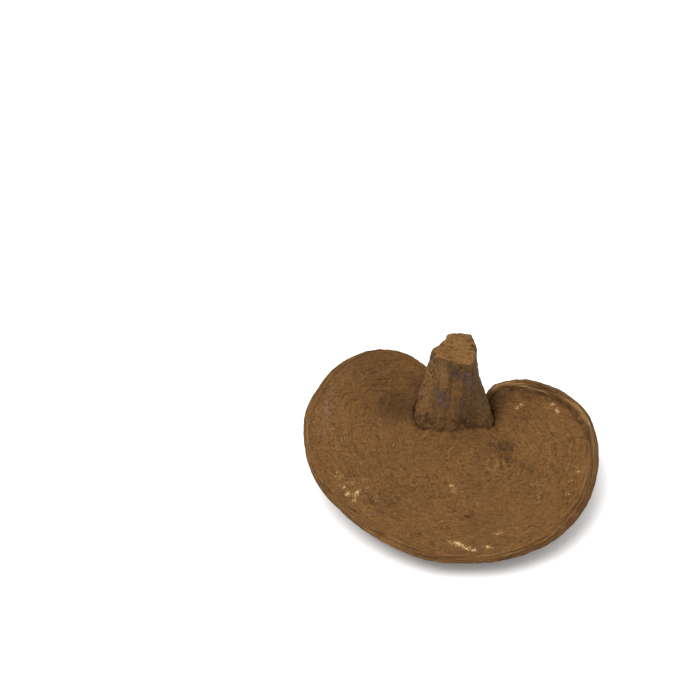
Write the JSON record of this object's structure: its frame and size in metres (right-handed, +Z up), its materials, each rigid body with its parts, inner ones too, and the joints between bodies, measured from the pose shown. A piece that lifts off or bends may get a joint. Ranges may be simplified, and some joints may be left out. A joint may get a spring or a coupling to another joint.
{
  "type": "dried reishi mushroom",
  "caption": "Dried kidney-shaped bracket mushroom lying on the crown of its cap, pore face up, with its cut woody stem standing from the notch.",
  "frame": {"origin": "centre of the flat patch on the crown that the mushroom rests on, at ground height", "axes": "+Z up, +X towards the cap's lobe with the thick rim, +Y from the thin front margin towards the stem"},
  "size_m": [0.1312, 0.1086, 0.0618],
  "materials": {
    "cap_powder": "matte",
    "stem_bark": "matte"
  },
  "bodies": {
    "root": {"cap": "cap_powder", "stem": "stem_bark"}
  },
  "joints": []
}
